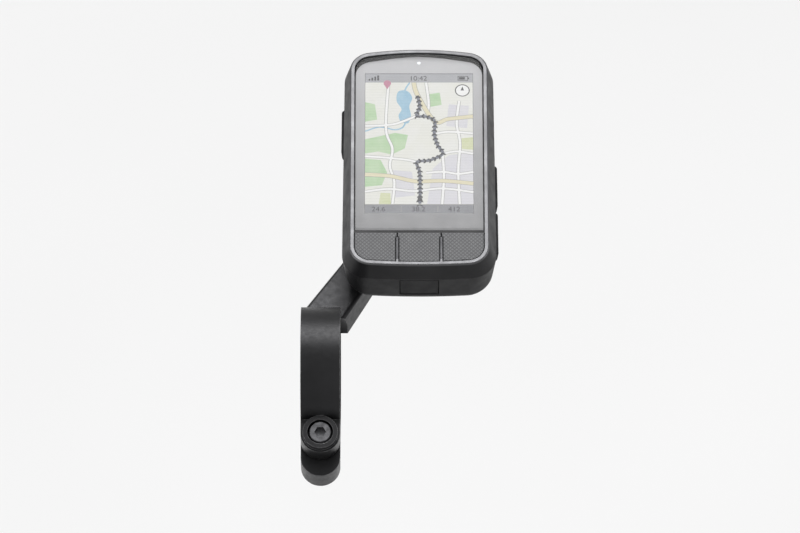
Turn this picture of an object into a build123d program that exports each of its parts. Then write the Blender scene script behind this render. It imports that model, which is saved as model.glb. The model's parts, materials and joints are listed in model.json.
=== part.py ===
from build123d import *
import os
from math import cos, radians, sin, tan

# A cycling computer on an out-front handlebar mount, as separate pieces. Millimetres.
# X runs along the handlebar to the rider's right, Y runs forward, Z is up.
# The origin is the middle of the bore that grips the handlebar.
# The computer's own pieces are drawn flat, with Z = 0 on its underside and Y forward,
# and COMPUTER then lifts and tilts them into place.

# ---- where the computer sits ----
TILT = 9.0                       # the face leans back towards the rider, degrees
SEAT = (30.0, 59.1, 16.2)        # middle of the computer's underside
COMPUTER = Pos(*SEAT) * Rot(TILT, 0, 0)

# ---- case ----
SEAM_Z = 13.5                    # where the front bezel meets the rear shell
FACE_Z = 20.0                    # top of the bezel's rim
# height, half width at the rear, half width at the front, rear end, front end, corner radius
BASE_LEVEL = (0.0, 22.2, 21.8, -38.8, 38.4, 8.5)
SEAM_LEVEL = (SEAM_Z, 23.6, 23.0, -40.0, 39.6, 8.5)
RIM_LEVEL = (FACE_Z, 21.2, 21.2, -39.0, 38.6, 6.5)
REAR_BOW = 1.0                   # how far the rear end curves out
FRONT_BOW = 2.2                  # how far the front end curves out
SMALL_ROUND = 1.0
BOTTOM_ROUND = 4.5
WALL = 1.8
FLOOR = 2.2
REACH = 60.0                     # far enough to pass every side of the case

# ---- face ----
RIM = 1.3                        # width of the rim round the face
RIM_ROUND = 0.55
WELL_Z = 18.0                    # ledge that the glass is glued to
LEDGE_Z = 16.8                   # underside of that ledge
GLASS_REAR = -26.6               # glass ends here
KEYS_FRONT = -27.6               # keys start here
BAR_TOP = 19.2                   # low bar between the glass and the keys
GLASS_TOP = 19.75
GLASS_UNDER = 18.25
FIT_GAP = 0.2                    # gap round the glass and the keys
SCREEN_HALF = 17.1               # half width of the display panel
SCREEN_REAR = -20.2
SCREEN_FRONT = 33.2
LIGHT_Y = 36.8                   # light sensor, ahead of the display

# ---- front keys ----
KEY_EDGE = 6.7                   # the centre key's half width
RIDGE_HALF = 0.35                # thin ridges part the three keys
RIDGE_FRONT = -29.6
KEY_UNDER = 18.7
KEY_TOP = 19.85
KEY_STEMS = {"left_key": -11.6, "centre_key": 0.0, "right_key": 11.6}
STEM_Y = -32.4
STEM_HALF = 1.5
STEM_UNDER = 15.6

# ---- side buttons: side, rear end and front end ----
SIDE_BUTTONS = {
    "power_button": (-1, 8.5, 24.5),
    "up_button": (1, -11.5, 3.5),
    "down_button": (1, -29.0, -14.0),
}
BUTTON_LOW, BUTTON_HIGH = 6.0, 10.0
BUTTON_PROUD = 1.2
BUTTON_INNER = 2.75              # inset of the flange's inner face
FLANGE_OUTER = 1.95              # inset of the flange's outer face
FLANGE_LIP = 0.8
BUTTON_TRAVEL = 0.5

# ---- levels inside ----
BATTERY_LOW, BATTERY_HIGH = 2.6, 8.2
MIDFRAME_LOW, MIDFRAME_HIGH = 8.8, 10.2
BOARD_LOW, BOARD_HIGH = 10.9, 11.9
BACKLIGHT_LOW, PANEL_LOW, PANEL_HIGH = 15.2, 16.9, 18.15
REAR_POSTS = [(-17.2, -33.6), (17.2, -33.6)]
FRONT_POSTS = [(-16.4, 31.4), (16.4, 31.4)]
CASE_SCREWS = REAR_POSTS + FRONT_POSTS
TRAY_POSTS = [(-15.0, -14.0), (15.0, -14.0), (-15.0, 27.0), (15.0, 27.0)]
BOARD_SCREWS = [(-10.0, -9.0), (10.0, -9.0), (-10.0, 18.0), (10.0, 18.0)]
POST_R = 2.4
CASE_SCREW_R, CASE_HOLE_R = 0.8, 1.0
SMALL_SCREW_R, SMALL_HEAD_R = 0.7, 1.3

# ---- charging port ----
PORT_Z = 9.25                    # middle of the USB-C socket
COVER_HALF = 5.75
COVER_LOW, COVER_HIGH = 4.6, 13.0
COVER_THICK = 1.1
COVER_HINGE_Y, COVER_HINGE_Z = -39.71, 5.15
PORT_FACE_Y = -36.9              # inner face of the pad that the socket meets

# ---- quarter-turn joint ----
HUB_R = 12.5
LUG_R = 15.5
LUG_SPAN = 60.0                  # degrees
LUG_LOW, LUG_HIGH = -5.2, -3.2
DISC_R, DISC_DEPTH = 15.8, 1.2
RING_R, RING_LOW, RING_TOP = 18.5, -6.5, -0.4
RING_BORE = 13.0
GROOVE_R, GROOVE_LOW, GROOVE_HIGH = 16.0, -5.7, -2.9
HEAD_R, HEAD_LOW, HEAD_TOP = 21.0, -9.0, -1.6

# ---- handlebar clamp ----
BAR_R = 15.9                     # grips a 31.8 mm handlebar
LINER = 0.8
BAND_IN = BAR_R + LINER
BAND_OUT = 19.5
BAND_HALF = 6.0                  # half the band's width along the bar
SPLIT_FRONT, SPLIT_REAR = -5.0, 200.0
PIN_Y, PIN_Z, PIN_R = 20.8, -1.0, 1.5
KNUCKLE_R = 3.3
KNUCKLE_HALF = 2.3               # half width of the jaw's own knuckle
EAR_REACH = 23.0                 # clamp screw's distance from the bar's axis
EAR_R = 6.0
SCREW_R = 1.95
HEAD_SEAT, HEAD_HIGH = 4.2, 8.0  # under and top of the screw's head, above the split

ON_BASE = (Align.CENTER, Align.CENTER, Align.MIN)
FROM_CORNER = (Align.MIN, Align.MIN, Align.MIN)


# ---- small helpers ----
def block(x0, x1, y0, y1, z0, z1):
    """A box between two corners."""
    return Pos(x0, y0, z0) * Box(x1 - x0, y1 - y0, z1 - z0, align=FROM_CORNER)


def column(x, y, z0, z1, radius):
    """An upright cylinder."""
    return Pos(x, y, z0) * Cylinder(radius, z1 - z0, align=ON_BASE)


def axle(y, z, radius, half):
    """A cylinder along X, centred on X = 0."""
    return Pos(0, y, z) * Rot(0, 90, 0) * Cylinder(radius, 2 * half)


def beside(side):
    """The near and far x of a region along one long side of the case."""
    return sorted((side * 15.0, side * REACH))


def sector(r_in, r_out, start, end):
    """A flat piece of a ring between two angles."""
    outer = CenterArc((0, 0), r_out, start, end - start)
    inner = CenterArc((0, 0), r_in, start, end - start)
    return make_face([outer, Line(outer @ 1, inner @ 1), inner, Line(inner @ 0, outer @ 0)])


def group(solids):
    """Several separate solids that share one node."""
    return Compound(children=[piece.solid() for piece in solids])


# ---- case outline ----
def level(z):
    """The case's outline numbers at height z."""
    low, high = (BASE_LEVEL, SEAM_LEVEL) if z <= SEAM_Z else (SEAM_LEVEL, RIM_LEVEL)
    share = (z - low[0]) / (high[0] - low[0])
    return [a + share * (b - a) for a, b in zip(low, high)]


def half_width(y, z):
    """The case's half width at height z, y along its side."""
    _, rear, front, y_rear, y_front, _ = level(z)
    return rear + (front - rear) * (y - y_rear) / (y_front - y_rear)


def outline(z, inset=0.0):
    """The case's outline at height z: straight sides, bowed ends, round corners."""
    _, rear, front, y_rear, y_front, corner = level(z)
    rear, front = rear - inset, front - inset
    y_rear, y_front = y_rear + inset, y_front - inset
    face = make_face([
        ThreePointArc((-rear, y_rear), (0, y_rear - REAR_BOW), (rear, y_rear)),
        Line((rear, y_rear), (front, y_front)),
        ThreePointArc((front, y_front), (0, y_front + FRONT_BOW), (-front, y_front)),
        Line((-front, y_front), (-rear, y_rear)),
    ])
    face = fillet(face.vertices(), max(corner - inset, SMALL_ROUND))
    return Pos(0, 0, z) * face


def case_block(z0, z1, inset=0.0):
    """The case's solid form between two heights on one side of the seam."""
    return loft([outline(z0, inset), outline(z1, inset)])


def tub(floor, inset):
    """The rear shell's form with its rounded bottom edge."""
    form = case_block(floor, SEAM_Z, inset)
    return fillet(form.edges().group_by(Axis.Z)[0], BOTTOM_ROUND - inset)


def plate(z0, z1, outline_z, inset):
    """A flat plate with the case's outline."""
    return extrude(Pos(0, 0, z0 - outline_z) * outline(outline_z, inset), z1 - z0)


def seal_ring():
    """The rubber ring that lies in a groove across the seam."""
    half, outer, inner = 0.4, 0.5, 1.3
    low, high = SEAM_Z - half, SEAM_Z + half
    return plate(low, high, SEAM_Z, outer) - plate(low, high, SEAM_Z, inner)


# ---- front of the case ----
def face_well(gap, z0, z1):
    """The sunken area inside the rim, smaller by a gap."""
    return plate(z0, z1, FACE_Z, RIM + gap)


def ridges(gap):
    """The two thin bars between the front keys, grown by a gap."""
    bars = Part()
    for x in (-KEY_EDGE, KEY_EDGE):
        half = RIDGE_HALF + gap
        bars += block(x - half, x + half, -REACH, RIDGE_FRONT + gap, LEDGE_Z, FACE_Z)
    return bars


def stem_block(x, grow, z0, z1):
    """A key's stem, grown sideways."""
    half = STEM_HALF + grow
    return block(x - half, x + half, STEM_Y - half, STEM_Y + half, z0, z1)


def front_bezel():
    bezel = case_block(SEAM_Z, FACE_Z)
    bezel = fillet(bezel.edges().group_by(Axis.Z)[-1], RIM_ROUND)
    bezel -= case_block(SEAM_Z, LEDGE_Z, WALL)
    well = face_well(0, WELL_Z, FACE_Z)
    bezel -= well & block(-REACH, REACH, GLASS_REAR, REACH, 0, REACH)
    bezel -= (well & block(-REACH, REACH, -REACH, KEYS_FRONT, 0, REACH)) - ridges(0)
    bezel -= well & block(-REACH, REACH, KEYS_FRONT, GLASS_REAR, BAR_TOP, REACH)
    window, gap = SCREEN_HALF + 0.5, 0.8
    bezel -= block(-window, window, SCREEN_REAR - gap, SCREEN_FRONT + gap, LEDGE_Z, WELL_Z)
    bezel -= block(-6.5, 6.5, SCREEN_REAR - 2.7, SCREEN_REAR, LEDGE_Z, WELL_Z)
    bezel -= column(0, LIGHT_Y, LEDGE_Z, WELL_Z, 1.2)
    for x in KEY_STEMS.values():
        bezel -= stem_block(x, 0.35, LEDGE_Z, WELL_Z)
    form = case_block(SEAM_Z, FACE_Z)
    for x, y in REAR_POSTS:
        bezel += column(x, y, MIDFRAME_HIGH, LEDGE_Z, POST_R)
    rib_top = BACKLIGHT_LOW - 0.2
    for x, y in FRONT_POSTS:
        side = 1 if x > 0 else -1
        rib = block(min(x, side * REACH), max(x, side * REACH), y - 1, y + 1, SEAM_Z, rib_top)
        bezel += (rib & form) + column(x, y, MIDFRAME_HIGH, rib_top, POST_R)
    for x, y in CASE_SCREWS:
        bezel -= column(x, y, MIDFRAME_HIGH, SEAM_Z + 0.5, CASE_SCREW_R)
    return bezel - seal_ring()


def cover_glass():
    glass = face_well(FIT_GAP, GLASS_UNDER, GLASS_TOP)
    glass &= block(-REACH, REACH, GLASS_REAR + FIT_GAP, REACH, 0, REACH)
    return chamfer(glass.edges().group_by(Axis.Z)[-1], 0.25)


def lens_adhesive():
    ring = face_well(0.5, WELL_Z, GLASS_UNDER)
    ring &= block(-REACH, REACH, GLASS_REAR + 0.5, REACH, 0, REACH)
    window, gap = SCREEN_HALF + 0.6, 0.9
    ring -= block(-window, window, SCREEN_REAR - gap, SCREEN_FRONT + gap, 0, REACH)
    return ring - column(0, LIGHT_Y, WELL_Z, GLASS_UNDER, 1.3)


def display_panel():
    return block(-SCREEN_HALF, SCREEN_HALF, SCREEN_REAR, SCREEN_FRONT, PANEL_LOW, PANEL_HIGH)


def display_backlight():
    light = block(-SCREEN_HALF, SCREEN_HALF, SCREEN_REAR, SCREEN_FRONT, BACKLIGHT_LOW, PANEL_LOW)
    return fillet(light.edges().filter_by(Axis.Z), 0.8)


def display_flex():
    """A flat cable that folds from the panel's edge down onto the main board."""
    thick, half, back = 0.25, 6.0, 2.4
    low, high = BOARD_HIGH, PANEL_HIGH - 0.5
    rear, front = SCREEN_REAR - back, SCREEN_REAR
    outer = block(-half, half, rear, front, low, high)
    outer = fillet(outer.edges().filter_by(Axis.X).group_by(Axis.Y)[0], 1.0)
    inner = block(-half, half, rear + thick, front, low + thick, high - thick)
    inner = fillet(inner.edges().filter_by(Axis.X).group_by(Axis.Y)[0], 1.0 - thick)
    return outer - inner


def light_pipe():
    return column(0, LIGHT_Y, BOARD_HIGH + 1, GLASS_UNDER, 1.1)


def light_sensor():
    return block(-1.2, 1.2, LIGHT_Y - 1, LIGHT_Y + 1, BOARD_HIGH, BOARD_HIGH + 1)


# ---- front keys ----
def front_key(name):
    """A thin cap in the face with a stem that reaches the switch below."""
    x = KEY_STEMS[name]
    edge = KEY_EDGE - 0.15
    left, right = (-edge, edge) if x == 0 else sorted((x / abs(x) * (edge + 0.3), x * REACH))
    cap = face_well(FIT_GAP, KEY_UNDER, KEY_TOP)
    cap &= block(left, right, -REACH, KEYS_FRONT - FIT_GAP, 0, REACH)
    cap -= ridges(FIT_GAP)
    cap = fillet(cap.edges().group_by(Axis.Z)[-1], 0.3)
    return cap + stem_block(x, 0, STEM_UNDER, KEY_UNDER)


def key_membrane():
    """A rubber sheet under the keys, with a wall up to the bezel and a bump for each key."""
    half, rear, front, low, thick, wall = 14.6, -36.4, -28.4, 14.2, 0.6, 1.2
    sheet = block(-half, half, rear, front, low, LEDGE_Z)
    sheet -= block(-half + wall, half - wall, rear + wall, front - wall, low + thick, LEDGE_Z)
    for x in KEY_STEMS.values():
        sheet += column(x, STEM_Y, low + thick, low + thick + 0.2, 1.3)
    return sheet


def front_switches():
    low, body_high, top = BOARD_HIGH, 13.9, 14.2
    half = 2.2
    return group([
        block(x - half, x + half, STEM_Y - half, STEM_Y + half, low, body_high)
        + column(x, STEM_Y, body_high, top, 1.0)
        for x in KEY_STEMS.values()
    ])


# ---- inside the case ----
def midframe():
    """The plate that carries the board and the display, with the battery below it."""
    frame = plate(MIDFRAME_LOW, MIDFRAME_HIGH, MIDFRAME_LOW, 2.1)
    for x, y in TRAY_POSTS:
        frame += block(x - 1.2, x + 1.2, y - 1.2, y + 1.2, MIDFRAME_HIGH, BACKLIGHT_LOW)
    for x, y in BOARD_SCREWS:
        frame += column(x, y, MIDFRAME_HIGH, BOARD_LOW, 2.0)
        frame -= column(x, y, MIDFRAME_LOW, BOARD_LOW, SMALL_SCREW_R)
    for x, y in CASE_SCREWS:
        frame -= column(x, y, MIDFRAME_LOW, MIDFRAME_HIGH, CASE_HOLE_R)
    for side, rear, front in SIDE_BUTTONS.values():
        near, far = beside(side)
        frame -= block(near, far, rear - 1.5, front + 1.5, 0, REACH)
    frame -= block(-9, 9, -REACH, -28.5, 0, REACH)
    return frame - block(-5, 5, -23.5, -18.0, 0, REACH)


def main_board():
    board = plate(BOARD_LOW, BOARD_HIGH, BOARD_LOW, 3.0)
    board -= block(-8.6, 8.6, -REACH, PORT_FACE_Y + 0.3, 0, REACH)
    for x, y in CASE_SCREWS:
        board -= column(x, y, BOARD_LOW, BOARD_HIGH, POST_R + 0.3)
    for x, y in TRAY_POSTS:
        board -= block(x - 1.5, x + 1.5, y - 1.5, y + 1.5, BOARD_LOW, BOARD_HIGH)
    for x, y in BOARD_SCREWS:
        board -= column(x, y, BOARD_LOW, BOARD_HIGH, SMALL_SCREW_R)
    return board


def board_screws():
    return group([
        column(x, y, MIDFRAME_LOW, BOARD_HIGH, SMALL_SCREW_R)
        + column(x, y, BOARD_HIGH, BOARD_HIGH + 0.7, SMALL_HEAD_R)
        for x, y in BOARD_SCREWS
    ])


def shield_can():
    """A thin metal lid over the processor."""
    wall, top = 0.2, BOARD_HIGH + 1.5
    can = block(-8, 8, -3, 13, BOARD_HIGH, top)
    can = fillet(can.edges().filter_by(Axis.Z), 1.0)
    return can - block(-8 + wall, 8 - wall, -3 + wall, 13 - wall, BOARD_HIGH, top - wall)


def board_chips():
    """The processor under its lid, and the smaller chips round it: middle, size and height."""
    chips = [
        (0, 5, 9, 9, 1.0), (14, 5, 5, 6, 0.9), (-13.5, 5, 5, 4, 0.9), (-12, -3, 4, 3, 0.8),
        (14, -4, 4, 4, 0.8), (0, 19, 5, 4, 0.9), (-5, -14, 3, 3, 0.7), (9.5, -17, 4, 3, 0.8),
    ]
    return group([
        block(x - wide / 2, x + wide / 2, y - deep / 2, y + deep / 2, BOARD_HIGH, BOARD_HIGH + tall)
        for x, y, wide, deep, tall in chips
    ])


def gnss_antenna():
    return block(-8, 8, 27.5, 32.0, BOARD_HIGH, BOARD_HIGH + 2.6)


def pressure_sensor():
    return block(10.5, 13.5, 31.5, 34.0, BOARD_HIGH, BOARD_HIGH + 1.0)


def buzzer():
    disc = column(-10.5, -25.0, FLOOR, 5.4, 5.0)
    return disc - column(-10.5, -25.0, 5.1, 5.4, 0.8)


def vent_membrane():
    return column(0, 29.5, FLOOR, FLOOR + 0.3, 2.6)


def battery_pack():
    pack = block(-15.4, 15.4, -16, 24, BATTERY_LOW, BATTERY_HIGH)
    return fillet(pack.edges().filter_by(Axis.Y), 1.6)


def battery_tape():
    return group([block(x - 4, x + 4, -12, 20, FLOOR, BATTERY_LOW) for x in (-8, 8)])


def battery_foam():
    return block(-11, 11, -10, 18, BATTERY_HIGH, MIDFRAME_LOW)


def battery_leads():
    """Flat leads from the battery's rear end up to their plug."""
    thick, rear, low = 0.6, -20.6, 5.0
    run = block(-2, 2, rear, -16, low, low + thick)
    return run + block(-2, 2, rear, rear + thick, low, 9.2)


def battery_plug():
    return block(-3, 3, -21.8, -19.0, 9.2, BOARD_LOW)


def usb_socket():
    """The metal shell of the charging socket with its contact tongue."""
    half, tall, rear, front = 4.47, 1.63, PORT_FACE_Y, PORT_FACE_Y + 7.2
    wall = 0.3
    shell = block(-half, half, rear, front, PORT_Z - tall, PORT_Z + tall)
    shell = fillet(shell.edges().filter_by(Axis.Y), 1.5)
    inner = block(-half + wall, half - wall, rear, front - 1, PORT_Z - tall + wall, PORT_Z + tall - wall)
    shell -= fillet(inner.edges().filter_by(Axis.Y), 1.2)
    return shell + block(-3.3, 3.3, rear + 1, front - 1, PORT_Z - 0.35, PORT_Z + 0.35)


def side_switches():
    """Three switches under the board's edge, one for each side button."""
    low, inner, body = 6.9, 16.0, 18.4
    switches = []
    for side, rear, front in SIDE_BUTTONS.values():
        y, z = (rear + front) / 2, (BUTTON_LOW + BUTTON_HIGH) / 2
        tip = half_width(y, z) - BUTTON_INNER - BUTTON_TRAVEL - 0.15
        near, far = sorted((side * inner, side * body))
        button = block(near, far, y - 2.5, y + 2.5, low, BOARD_LOW)
        near, far = sorted((side * body, side * tip))
        switches.append(button + block(near, far, y - 1.2, y + 1.2, z - 0.6, z + 0.6))
    return group(switches)


# ---- back of the case ----
def rear_shell():
    form = tub(0, 0)
    shell = form - tub(FLOOR, WALL)
    for x, y in CASE_SCREWS:
        shell += column(x, y, FLOOR - 1, MIDFRAME_LOW, POST_R) & form
    shell += block(-8, 8, -REACH, PORT_FACE_Y, 3.6, SEAM_Z) & form
    for x, y in CASE_SCREWS:
        shell -= column(x, y, 0, 2.0, 1.7) + column(x, y, 0, MIDFRAME_LOW, CASE_HOLE_R)
    shell -= column(0, 0, 0, DISC_DEPTH, DISC_R + 0.1)
    for x, y in lug_screw_places():
        shell -= column(x, y, 0, FLOOR, SMALL_SCREW_R)
    shell -= column(0, 29.5, 0, FLOOR, 0.6)
    for side, rear, front in SIDE_BUTTONS.values():
        near, far = beside(side)
        shell -= block(near, far, rear - 0.25, front + 0.25, BUTTON_LOW - 0.25, BUTTON_HIGH + 0.25)
    gap = 0.25
    recess = case_block(0, SEAM_Z) - case_block(0, SEAM_Z, COVER_THICK + gap)
    half = COVER_HALF + gap
    shell -= recess & block(-half, half, -REACH, -30, COVER_LOW - 0.3, COVER_HIGH + gap)
    tunnel = block(-4.9, 4.9, -REACH, PORT_FACE_Y, PORT_Z - 2.0, PORT_Z + 2.0)
    shell -= fillet(tunnel.edges().filter_by(Axis.Y), 1.9)
    return shell - seal_ring()


def case_screws():
    return group([
        column(x, y, 0.9, 2.0, 1.5) + column(x, y, 2.0, SEAM_Z, CASE_SCREW_R) - hex_socket(x, y, 0.9, 0.7)
        for x, y in CASE_SCREWS
    ])


def hex_socket(x, y, z, depth, size=0.75):
    """A six-sided drive hole, cut upwards from z."""
    return Pos(x, y, z) * extrude(RegularPolygon(size, 6), depth)


def side_button(name):
    """A button through the side wall, with a lip inside that holds it in."""
    side, rear, front = SIDE_BUTTONS[name]
    near, far = beside(side)
    inner = case_block(0, SEAM_Z, BUTTON_INNER)
    cap = case_block(0, SEAM_Z, -BUTTON_PROUD) - inner
    cap &= block(near, far, rear, front, BUTTON_LOW, BUTTON_HIGH)
    outer_face = cap.faces().sort_by(Axis.X)[-1 if side > 0 else 0]
    cap = fillet(outer_face.edges(), 0.8)
    lip = FLANGE_LIP
    flange = case_block(0, SEAM_Z, FLANGE_OUTER) - inner
    flange &= block(near, far, rear - lip, front + lip, BUTTON_LOW - lip, BUTTON_HIGH + lip)
    return cap + flange


def usb_cover():
    """The flap over the charging port, with the short plug that seals the hole."""
    skin = case_block(0, SEAM_Z) - case_block(0, SEAM_Z, COVER_THICK)
    flap = skin & block(-COVER_HALF, COVER_HALF, -REACH, -30, COVER_HINGE_Z, COVER_HIGH)
    flap += axle(COVER_HINGE_Y, COVER_HINGE_Z, COVER_HINGE_Z - COVER_LOW, COVER_HALF)
    plug = block(-4.0, 4.0, -40.0, -38.7, PORT_Z - 1.3, PORT_Z + 1.2)
    return flap + fillet(plug.edges().filter_by(Axis.Y), 1.1)


# ---- quarter-turn joint ----
def lug_screw_places():
    """Four places on the disc, clear of the lugs."""
    reach = 14.1
    return [(reach * cos(radians(a)), reach * sin(radians(a))) for a in (50, 130, 230, 310)]


def lug_plate():
    """The disc under the case, with a hub and two lugs that lock in the mount."""
    disc = column(0, 0, 0, DISC_DEPTH, DISC_R) + column(0, 0, LUG_LOW, 0, HUB_R)
    disc -= column(0, 0, LUG_LOW, -0.8, 9.5)
    for middle in (0, 180):
        lug = sector(HUB_R - 1, LUG_R, middle - LUG_SPAN / 2, middle + LUG_SPAN / 2)
        disc += Pos(0, 0, LUG_LOW) * extrude(lug, LUG_HIGH - LUG_LOW)
    for x, y in lug_screw_places():
        disc -= column(x, y, 0, DISC_DEPTH, SMALL_SCREW_R) + column(x, y, 0, 0.6, SMALL_HEAD_R)
    return disc


def lug_screws():
    return group([
        column(x, y, 0, 0.6, SMALL_HEAD_R) + column(x, y, 0.6, FLOOR, SMALL_SCREW_R)
        - hex_socket(x, y, 0, 0.35)
        for x, y in lug_screw_places()
    ])


def ring_screw_places():
    reach = 17.25
    return [(reach * cos(radians(a)), reach * sin(radians(a))) for a in (0, 120, 240)]


def socket_ring():
    """The mount's ring: two gates at front and rear let the lugs in, and a groove holds them."""
    gate_span = LUG_SPAN + 6
    ring = column(0, 0, RING_LOW, RING_TOP, RING_R)
    ring -= column(0, 0, GROOVE_LOW, RING_TOP, RING_BORE)
    ring -= column(0, 0, GROOVE_LOW, GROOVE_HIGH, GROOVE_R)
    ring -= column(0, 0, RING_LOW, GROOVE_LOW, 10.0)
    for middle in (90, 270):
        gate = sector(RING_BORE - 1, GROOVE_R, middle - gate_span / 2, middle + gate_span / 2)
        ring -= Pos(0, 0, GROOVE_HIGH) * extrude(gate, RING_TOP - GROOVE_HIGH)
    for x, y in ring_screw_places():
        ring -= column(x, y, RING_LOW, GROOVE_HIGH, SMALL_SCREW_R)
    return ring


def ring_screws():
    return group([
        column(x, y, HEAD_LOW + 0.2, HEAD_LOW + 1.3, 1.35)
        + column(x, y, HEAD_LOW + 1.3, GROOVE_HIGH, SMALL_SCREW_R)
        - hex_socket(x, y, HEAD_LOW + 0.2, 0.6, 0.7)
        for x, y in ring_screw_places()
    ])


# ---- mount ----
EAR_ANGLE = radians(SPLIT_REAR)
EAR = Plane(
    origin=(0, EAR_REACH * cos(EAR_ANGLE), EAR_REACH * sin(EAR_ANGLE)),
    x_dir=(1, 0, 0),
    z_dir=(0, sin(EAR_ANGLE), -cos(EAR_ANGLE)),
)


def under_case(y, drop):
    """Height of a line that runs below the computer's underside, at distance drop."""
    return SEAT[2] - drop / cos(radians(TILT)) + (y - SEAT[1]) * tan(radians(TILT))


def across(face, half):
    """A solid from a side-view outline, spread to both sides of X = 0."""
    return extrude(Plane.YZ * face, half, both=True)


def knuckles(radius, grow):
    """The arm's two outer hinge knuckles."""
    gap = KNUCKLE_HALF + 0.2 - grow
    barrel = axle(PIN_Y, PIN_Z, radius, BAND_HALF + grow)
    return barrel - axle(PIN_Y, PIN_Z, radius + 1, gap)


def beam():
    """The slanting beam from the clamp to the head, parallel to the computer's underside."""
    start, bend, end = 15.0, 38.0, SEAT[1]
    shoulder, toe = 17.5, 13.0   # the left edge leaves the band further forward than the right edge
    left, right = 18.2, 32.7     # where the edges run in under the head
    plan = make_face(Polyline(
        (-BAND_HALF, 8), (-BAND_HALF, shoulder), (left, end - 6), (left, end), (right, end),
        (BAND_HALF, toe), (BAND_HALF, 8), close=True,
    ))
    side = make_face(Polyline(
        (8, under_case(8, -HEAD_TOP)), (end, under_case(end, -HEAD_TOP)),
        (end, under_case(end, -HEAD_LOW)), (bend, under_case(bend, -HEAD_LOW)),
        (start, -1.5), (8, -1.5), close=True,
    ))
    solid = extrude(Pos(0, 0, -REACH / 2) * plan, REACH) & across(side, REACH)
    long_edges = solid.edges().filter_by(lambda edge: edge.length > end * 0.6)
    return fillet(long_edges, 1.2)


def mount_arm():
    """The fixed half of the clamp, the beam and the head that holds the socket ring."""
    band = across(sector(BAND_IN, BAND_OUT, SPLIT_FRONT, SPLIT_REAR), BAND_HALF)
    head = column(0, 0, HEAD_LOW, HEAD_TOP, HEAD_R)
    head = fillet(head.edges().group_by(Axis.Z)[0], 1.5)
    ear = block(-BAND_HALF, BAND_HALF, 0, 8, 0.5, 6.4) + column(0, 0, 0.5, 6.4, EAR_R)
    boss = column(0, 0, 6.4, 8.2, 5.3)
    arm = band + beam() + knuckles(KNUCKLE_R, 0) + EAR * (ear + boss) + COMPUTER * head
    arm -= axle(0, 0, BAND_IN, REACH)
    arm -= axle(PIN_Y, PIN_Z, KNUCKLE_R + 0.4, KNUCKLE_HALF + 0.2)
    arm -= axle(PIN_Y, PIN_Z, PIN_R, BAND_HALF)
    arm -= EAR * (column(0, 0, 0, HEAD_SEAT, 2.3) + column(0, 0, HEAD_SEAT, 9, 3.9))
    pocket = column(0, 0, RING_LOW, 0, RING_R) + column(0, 0, HEAD_LOW, 0, 9.0)
    for x, y in ring_screw_places():
        pocket += column(x, y, HEAD_LOW, 0, SMALL_SCREW_R) + column(x, y, HEAD_LOW, HEAD_LOW + 1.3, 1.5)
    return arm - COMPUTER * pocket


def upper_bar_liner():
    return across(sector(BAR_R, BAND_IN, SPLIT_FRONT + 1, SPLIT_REAR - 1), BAND_HALF)


def lower_bar_liner():
    return across(sector(BAR_R, BAND_IN, SPLIT_REAR + 4 - 360, SPLIT_FRONT - 4), BAND_HALF)


def clamp_jaw():
    """The swinging half of the clamp, with a hinge knuckle and a rounded tongue."""
    band = across(sector(BAND_IN, BAND_OUT, SPLIT_REAR + 3 - 360, SPLIT_FRONT - 3), BAND_HALF)
    low, high, out = -10.0, -0.5, -5.0
    tongue = block(-BAND_HALF, BAND_HALF, out, 8, low, high) + column(0, out, low, high, EAR_R)
    tongue = fillet(tongue.edges().group_by(Axis.Z)[0].sort_by(Axis.Y)[:1], 1.2)
    jaw = band + EAR * tongue - axle(0, 0, BAND_IN, REACH) - knuckles(KNUCKLE_R + 0.3, 0.15)
    jaw += axle(PIN_Y, PIN_Z, KNUCKLE_R, KNUCKLE_HALF)
    jaw -= axle(0, 0, BAND_IN, REACH) + axle(PIN_Y, PIN_Z, PIN_R + 0.06, BAND_HALF)
    slot = 1.4                   # the hole is longer towards the bar, so the jaw can swing off the screw
    hole = column(0, 0, low, high, 2.4) + column(0, slot, low + 4, high, 2.4)
    hole += block(-2.4, 2.4, 0, slot, low + 4, high)
    return jaw - EAR * (hole + nut_blank(low, 3.6))


def nut_blank(low, half):
    """The square form of the nut, or of its pocket with a larger half width."""
    return block(-half, half, -half, half, low, -6.4)


def clamp_nut():
    return EAR * (nut_blank(-9.6, 3.5) - column(0, 0, -10, -6, 2.25))


def hinge_pin():
    return axle(PIN_Y, PIN_Z, PIN_R, BAND_HALF)


def clamp_screw():
    """A socket-head screw through the rear ears."""
    head = column(0, 0, HEAD_SEAT, HEAD_HIGH, 3.5)
    head = chamfer(head.edges().group_by(Axis.Z)[-1], 0.4)
    shank = column(0, 0, -12.5, HEAD_SEAT, SCREW_R)
    shank = chamfer(shank.edges().group_by(Axis.Z)[0], 0.4)
    return EAR * (head + shank - hex_socket(0, 0, HEAD_HIGH - 2, 2, 1.75))


# ---- write the pieces ----
ON_COMPUTER = [
    front_bezel, cover_glass, lens_adhesive, display_panel, display_backlight, display_flex,
    light_pipe, light_sensor, key_membrane, front_switches, midframe, main_board, board_screws,
    shield_can, board_chips, gnss_antenna, pressure_sensor, buzzer, vent_membrane, battery_pack,
    battery_tape, battery_foam, battery_leads, battery_plug, usb_socket, side_switches,
    rear_shell, case_screws, usb_cover, lug_plate, lug_screws, socket_ring, ring_screws,
]
ON_MOUNT = [
    mount_arm, upper_bar_liner, lower_bar_liner, clamp_jaw, clamp_nut, hinge_pin, clamp_screw,
]


def write(name, shape):
    shape.label = name
    export_step(shape, f"parts/{name}.step")


def main():
    os.makedirs("parts", exist_ok=True)
    for make in ON_COMPUTER:
        write(make.__name__, COMPUTER * make())
    write("case_seal", COMPUTER * seal_ring())
    for name in KEY_STEMS:
        write(name, COMPUTER * front_key(name))
    for name in SIDE_BUTTONS:
        write(name, COMPUTER * side_button(name))
    for make in ON_MOUNT:
        write(make.__name__, make())


main()
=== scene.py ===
import json
import math

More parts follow.
